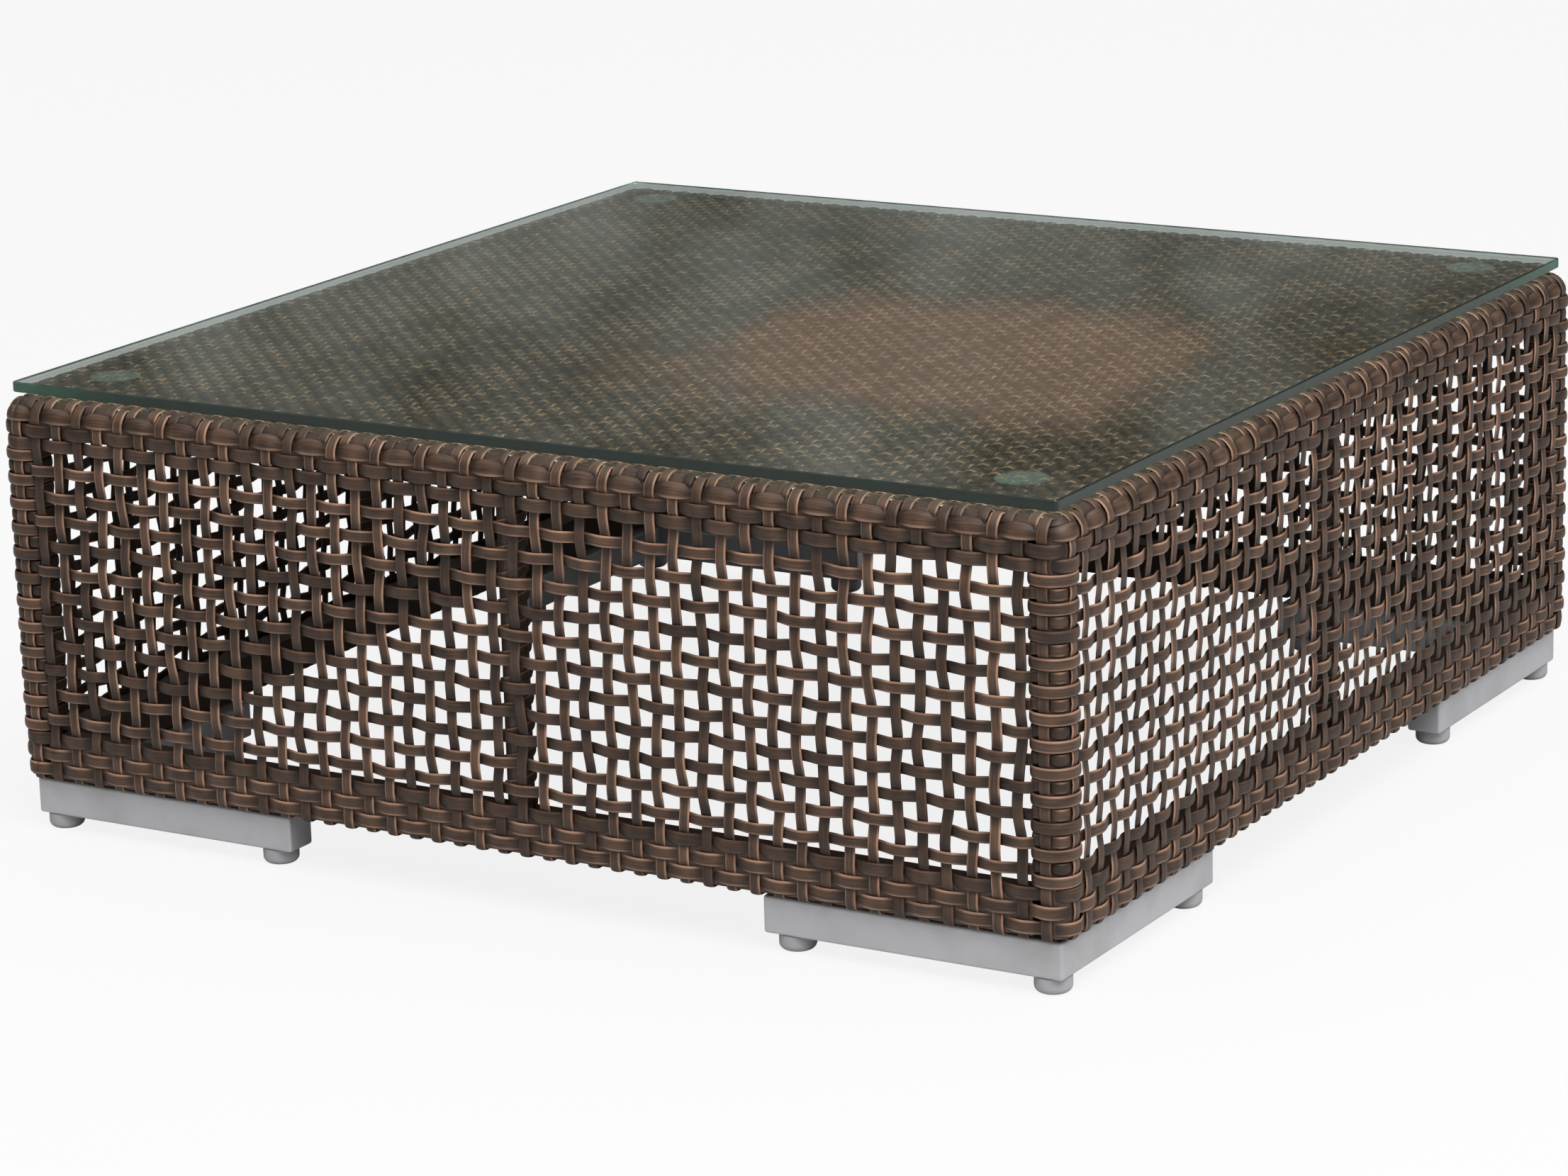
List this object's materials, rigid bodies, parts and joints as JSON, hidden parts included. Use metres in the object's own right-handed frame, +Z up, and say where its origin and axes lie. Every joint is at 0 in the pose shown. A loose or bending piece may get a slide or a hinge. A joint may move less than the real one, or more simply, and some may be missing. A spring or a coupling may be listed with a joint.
{
  "type": "wicker coffee table",
  "caption": "Low square garden coffee table: a glass top on clear pads over a box woven from flat brown strips, on L-shaped silver bar feet with round glides.",
  "frame": {"origin": "on the floor, under the middle of the table", "axes": "+Z up; X and Y along the sides of the square, with the front side facing -Y"},
  "size_m": [0.9, 0.9, 0.35],
  "materials": {
    "glass": "clear float glass with a green edge",
    "clear_pad": "clear soft vinyl",
    "wicker": "flat extruded strip, dark brown with tan edges",
    "frame": "dark brown powder coat",
    "foot": "silver-grey paint",
    "glide": "moulded grey plastic",
    "bolt": "zinc plated"
  },
  "bodies": {
    "table": {"bottom_rail_back": "frame", "bottom_rail_front": "frame", "bottom_rail_left": "frame", "bottom_rail_right": "frame", "corner_post_back_left": "frame", "corner_post_back_right": "frame", "corner_post_front_left": "frame", "corner_post_front_right": "frame", "corner_wrap_back_left": "wicker", "corner_wrap_back_right": "wicker", "corner_wrap_front_left": "wicker", "corner_wrap_front_right": "wicker", "cross_rail_back": "frame", "cross_rail_front": "frame", "foot_back_left": "foot", "foot_back_right": "foot", "foot_bolt_back_left_x_arm": "bolt", "foot_bolt_back_left_y_arm": "bolt", "foot_bolt_back_right_x_arm": "bolt", "foot_bolt_back_right_y_arm": "bolt", "foot_bolt_front_left_x_arm": "bolt", "foot_bolt_front_left_y_arm": "bolt", "foot_bolt_front_right_x_arm": "bolt", "foot_bolt_front_right_y_arm": "bolt", "foot_front_left": "foot", "foot_front_right": "foot", "glide_back_left_corner": "glide", "glide_back_left_x_end": "glide", "glide_back_left_y_end": "glide", "glide_back_right_corner": "glide", "glide_back_right_x_end": "glide", "glide_back_right_y_end": "glide", "glide_front_left_corner": "glide", "glide_front_left_x_end": "glide", "glide_front_left_y_end": "glide", "glide_front_right_corner": "glide", "glide_front_right_x_end": "glide", "glide_front_right_y_end": "glide", "middle_post_back": "frame", "middle_post_front": "frame", "middle_post_left": "frame", "middle_post_right": "frame", "side_weave_back": "wicker", "side_weave_front": "wicker", "side_weave_left": "wicker", "side_weave_right": "wicker", "top_rail_back": "frame", "top_rail_front": "frame", "top_rail_left": "frame", "top_rail_right": "frame", "top_weave": "wicker"},
    "glass": {"glass_pad_back_left": "clear_pad", "glass_pad_back_right": "clear_pad", "glass_pad_front_left": "clear_pad", "glass_pad_front_right": "clear_pad", "glass_top": "glass"}
  },
  "joints": [
    {"name": "glass_lift", "type": "slide", "parent": "table", "child": "glass", "axis": [0, 0, 1], "range_m": [0, 0.15]}
  ]
}
